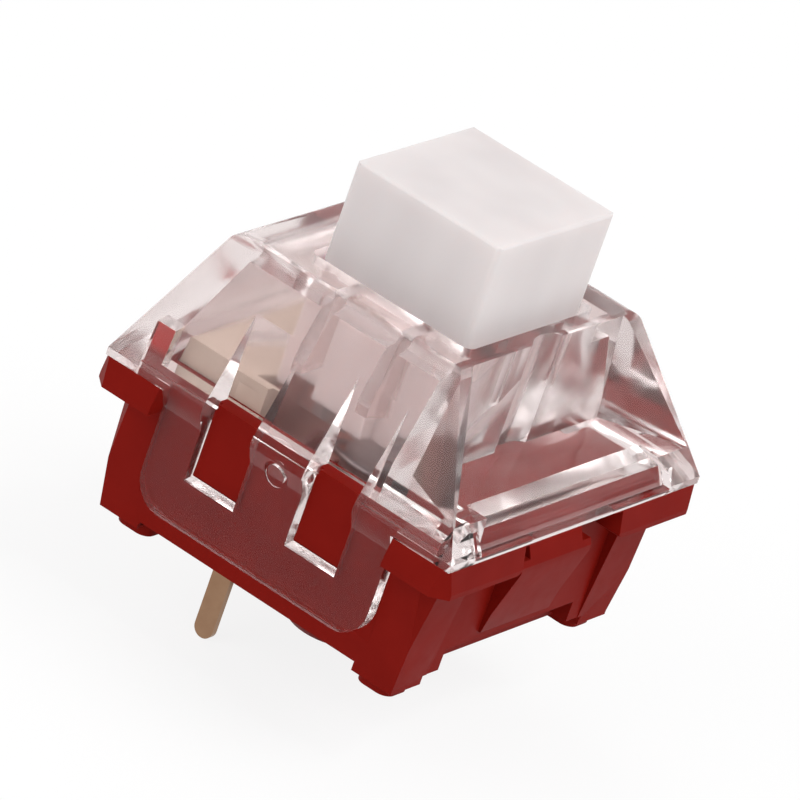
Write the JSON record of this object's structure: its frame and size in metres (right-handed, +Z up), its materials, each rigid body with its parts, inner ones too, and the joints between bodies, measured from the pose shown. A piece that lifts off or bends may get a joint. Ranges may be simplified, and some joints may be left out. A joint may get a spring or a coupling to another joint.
{
  "type": "mechanical keyboard switch",
  "caption": "Plate-mounted mechanical keyboard switch: clear cover, red lower housing, frosted stem block on a return spring, boxed leaf contacts and brass pins.",
  "frame": {"origin": "on the centre post's axis, in the plane of the circuit board's face that the feet rest on", "axes": "+Z up, out of the stem and away from the board; the lamp recess is on the -Y side and the contacts are on the +Y side; the latch flaps are on the X sides"},
  "size_m": [0.0156, 0.0156, 0.0186],
  "materials": {
    "clear_polycarbonate": "clear, polished moulding",
    "red_nylon": "satin moulding",
    "frosted_stem": "frosted, slightly translucent",
    "spring_steel": "drawn wire",
    "ivory_plastic": "satin moulding",
    "terminal_brass": "blanked sheet",
    "leaf_bronze": "rolled spring sheet",
    "gold_contact": "plated"
  },
  "bodies": {
    "housing": {"lower_housing": "red_nylon", "upper_housing": "clear_polycarbonate", "return_spring": "spring_steel", "contact_box": "ivory_plastic", "contact_box_cover": "ivory_plastic", "static_terminal": "terminal_brass", "static_contact_point": "gold_contact", "moving_terminal": "terminal_brass"},
    "key_stem": {"stem": "frosted_stem"},
    "pusher": {"push_block": "ivory_plastic"},
    "leaf": {"moving_leaf": "leaf_bronze", "moving_contact_point": "gold_contact"}
  },
  "joints": [
    {"name": "stem_travel", "type": "slide", "parent": "housing", "child": "key_stem", "axis": [0, 0, -1], "range_m": [0, 0.0036], "stiffness_N_per_m": 83, "springref_m": -0.0045, "deforming": ["return_spring"]},
    {"name": "pusher_slide", "type": "slide", "parent": "housing", "child": "pusher", "axis": [0, 1, 0], "range_m": [0, 0.00045]},
    {"name": "leaf_swing", "type": "hinge", "parent": "housing", "child": "leaf", "pos_m": [0, 0.00413, 0.00243], "axis": [-1, 0, 0], "range_deg": [0, 8]}
  ],
  "couplings": [
    {"joint": "pusher_slide", "follows": "stem_travel", "ratio": 0.12},
    {"joint": "leaf_swing", "follows": "stem_travel", "rad_per_m": 37.267}
  ]
}
